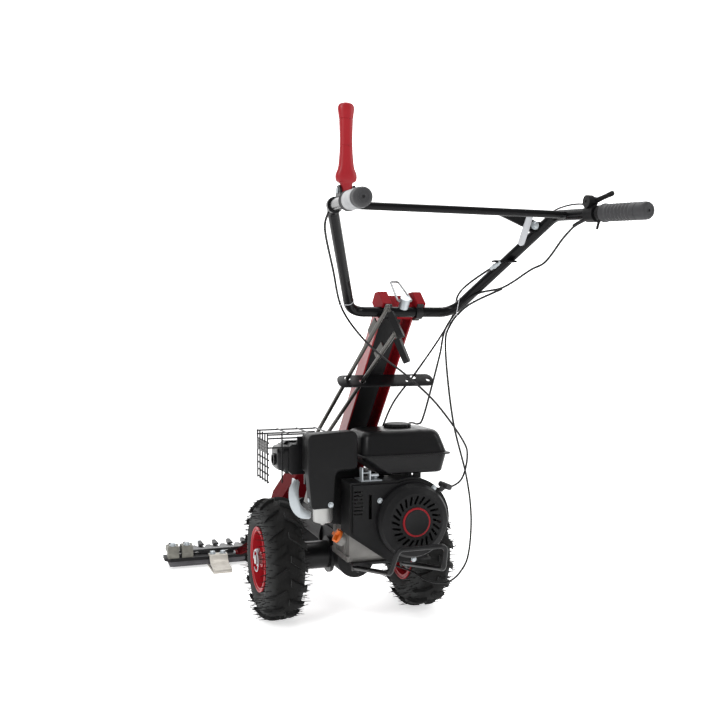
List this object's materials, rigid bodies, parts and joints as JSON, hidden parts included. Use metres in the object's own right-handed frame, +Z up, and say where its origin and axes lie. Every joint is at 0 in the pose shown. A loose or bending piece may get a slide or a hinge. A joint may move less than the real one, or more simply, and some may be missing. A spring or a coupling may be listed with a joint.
{
  "type": "sickle bar mower",
  "caption": "Walk-behind sickle bar mower: engine behind a two-wheel axle, reciprocating finger cutter bar in front, leaning mast and tilting tube handlebar.",
  "frame": {"origin": "middle of the machine's footprint on the ground", "axes": "+X to the machine's right, +Y forwards to the cutter bar, +Z up"},
  "size_m": [0.87, 1.7154, 1.2346],
  "materials": {
    "black_coat": "satin black coating",
    "red_paint": "gloss red paint",
    "cast_black": "black coated casting",
    "cast_grey": "bare grey casting",
    "steel": "bright steel",
    "zinc": "zinc plated",
    "chrome_wire": "polished wire",
    "black_plastic": "grained black plastic",
    "red_plastic": "gloss red plastic",
    "orange_plastic": "orange plastic",
    "grip_rubber": "dark grey rubber",
    "cable_sheath": "black cable sheath",
    "tyre_rubber": "black tyre rubber",
    "clip_iron": "grey cast iron",
    "dark_iron": "dark forged iron"
  },
  "bodies": {
    "chassis": {"gearbox": "cast_black", "axle_tubes": "black_coat", "engine_cradle": "black_coat", "crankcase": "cast_grey", "engine_cylinder": "cast_grey", "fan_shroud": "black_plastic", "recoil_cover": "black_plastic", "recoil_ring": "red_plastic", "fuel_tank": "black_coat", "tank_brackets": "black_coat", "air_filter": "black_plastic", "carburettor": "cast_grey", "cylinder_baffle": "zinc", "muffler": "black_coat", "muffler_guard": "black_coat", "control_plate": "zinc", "mast": "red_paint", "mast_panel": "black_plastic", "guide_plate": "black_coat", "shift_bracket": "red_paint", "bar_saddle": "red_paint", "bar_straps": "black_coat", "drive_neck": "cast_black", "cutter_frame": "red_paint", "cutter_beam": "black_coat", "knife_clips": "clip_iron", "skids": "zinc", "guard_fingers": "dark_iron", "control_cables": "cable_sheath"},
    "left_wheel": {"left_half_axle": "steel", "left_rim": "red_paint", "left_tyre": "tyre_rubber", "left_lynch_pin": "zinc"},
    "right_wheel": {"right_half_axle": "steel", "right_rim": "red_paint", "right_tyre": "tyre_rubber", "right_lynch_pin": "zinc"},
    "crank": {"crankshaft": "steel", "flywheel": "dark_iron"},
    "fuel_cap": {"fuel_cap": "black_plastic"},
    "oil_cap": {"oil_cap": "orange_plastic"},
    "starter_grip": {"starter_grip": "grip_rubber"},
    "stand": {"stand": "black_coat"},
    "upper_shift": {"upper_shift_rod": "steel", "upper_shift_grip": "black_plastic"},
    "lower_shift": {"lower_shift_rod": "steel", "lower_shift_grip": "black_plastic"},
    "handlebar": {"handlebar": "black_coat", "crossbar": "black_coat", "left_grip": "grip_rubber", "right_grip": "grip_rubber", "clutch_bracket": "black_coat", "throttle": "black_plastic"},
    "lock_pin": {"lock_pin": "zinc"},
    "bail": {"bail": "chrome_wire"},
    "clutch_lever": {"clutch_lever": "red_plastic"},
    "drive_lever": {"drive_lever": "black_coat"},
    "throttle_lever": {"throttle_lever": "black_plastic"},
    "knife": {"knife": "steel"},
    "swing_lever": {"swing_lever": "steel"}
  },
  "joints": [
    {"name": "left_wheel_roll", "type": "hinge", "parent": "chassis", "child": "left_wheel", "pos_m": [0, 0.1065, 0.165], "axis": [-1, 0, 0], "continuous": true},
    {"name": "right_wheel_roll", "type": "hinge", "parent": "chassis", "child": "right_wheel", "pos_m": [0, 0.1065, 0.165], "axis": [-1, 0, 0], "continuous": true},
    {"name": "crank_spin", "type": "hinge", "parent": "chassis", "child": "crank", "pos_m": [0.055, -0.2715, 0.322], "axis": [0, 1, 0], "continuous": true},
    {"name": "handlebar_tilt", "type": "hinge", "parent": "chassis", "child": "handlebar", "pos_m": [0, -0.31213, 0.83381], "axis": [1, 0, 0], "range_deg": [-15, 15], "deforming": ["control_cables"]},
    {"name": "lock_pin_pull", "type": "slide", "parent": "handlebar", "child": "lock_pin", "axis": [0, -0.5779, 0.8161], "range_m": [0, 0.015], "stiffness_N_per_m": 900, "springref_m": -0.003},
    {"name": "bail_swing", "type": "hinge", "parent": "lock_pin", "child": "bail", "pos_m": [0, -0.33004, 0.85911], "axis": [1, 0, 0], "range_deg": [0, 110]},
    {"name": "clutch_lever_squeeze", "type": "hinge", "parent": "handlebar", "child": "clutch_lever", "pos_m": [-0.238, -0.61713, 1.06381], "axis": [1, 0, 0], "range_deg": [0, 75], "stiffness_Nm_per_rad": 1.2, "springref_deg": -17.19},
    {"name": "drive_lever_pull", "type": "hinge", "parent": "handlebar", "child": "drive_lever", "pos_m": [0.216, -0.54313, 1.01981], "axis": [0, -1, 0], "range_deg": [0, 25], "stiffness_Nm_per_rad": 0.8, "springref_deg": -14.32},
    {"name": "throttle_turn", "type": "hinge", "parent": "handlebar", "child": "throttle_lever", "pos_m": [0.26744, -0.69996, 1.05433], "axis": [1, 0, 0], "range_deg": [-20, 20]},
    {"name": "upper_shift_slide", "type": "slide", "parent": "chassis", "child": "upper_shift", "axis": [0.1235, -0.7426, 0.6582], "range_m": [-0.02, 0.005]},
    {"name": "lower_shift_slide", "type": "slide", "parent": "chassis", "child": "lower_shift", "axis": [0.1376, -0.7787, 0.6121], "range_m": [-0.02, 0.02]},
    {"name": "stand_fold", "type": "hinge", "parent": "chassis", "child": "stand", "pos_m": [0, -0.0235, 0.155], "axis": [1, 0, 0], "range_deg": [0, 42]},
    {"name": "fuel_cap_turn", "type": "hinge", "parent": "chassis", "child": "fuel_cap", "pos_m": [0.062, -0.1215, 0.54], "axis": [0, 0, 1], "range_deg": [0, 90]},
    {"name": "oil_cap_turn", "type": "hinge", "parent": "chassis", "child": "oil_cap", "pos_m": [-0.081, -0.1175, 0.257], "axis": [-0.866, 0, 0.5], "range_deg": [0, 180]},
    {"name": "starter_pull", "type": "slide", "parent": "chassis", "child": "starter_grip", "axis": [0.766, 0, 0.6428], "range_m": [0, 0.08], "stiffness_N_per_m": 60, "springref_m": -0.05},
    {"name": "knife_slide", "type": "slide", "parent": "chassis", "child": "knife", "axis": [1, 0, 0], "range_m": [-0.025, 0.025]},
    {"name": "swing_lever_turn", "type": "hinge", "parent": "chassis", "child": "swing_lever", "pos_m": [0, 0.6155, 0.08], "axis": [0, 0, -1], "range_deg": [-11.3, 11.3]}
  ],
  "couplings": [
    {"joint": "swing_lever_turn", "follows": "knife_slide", "rad_per_m": 7.874}
  ]
}
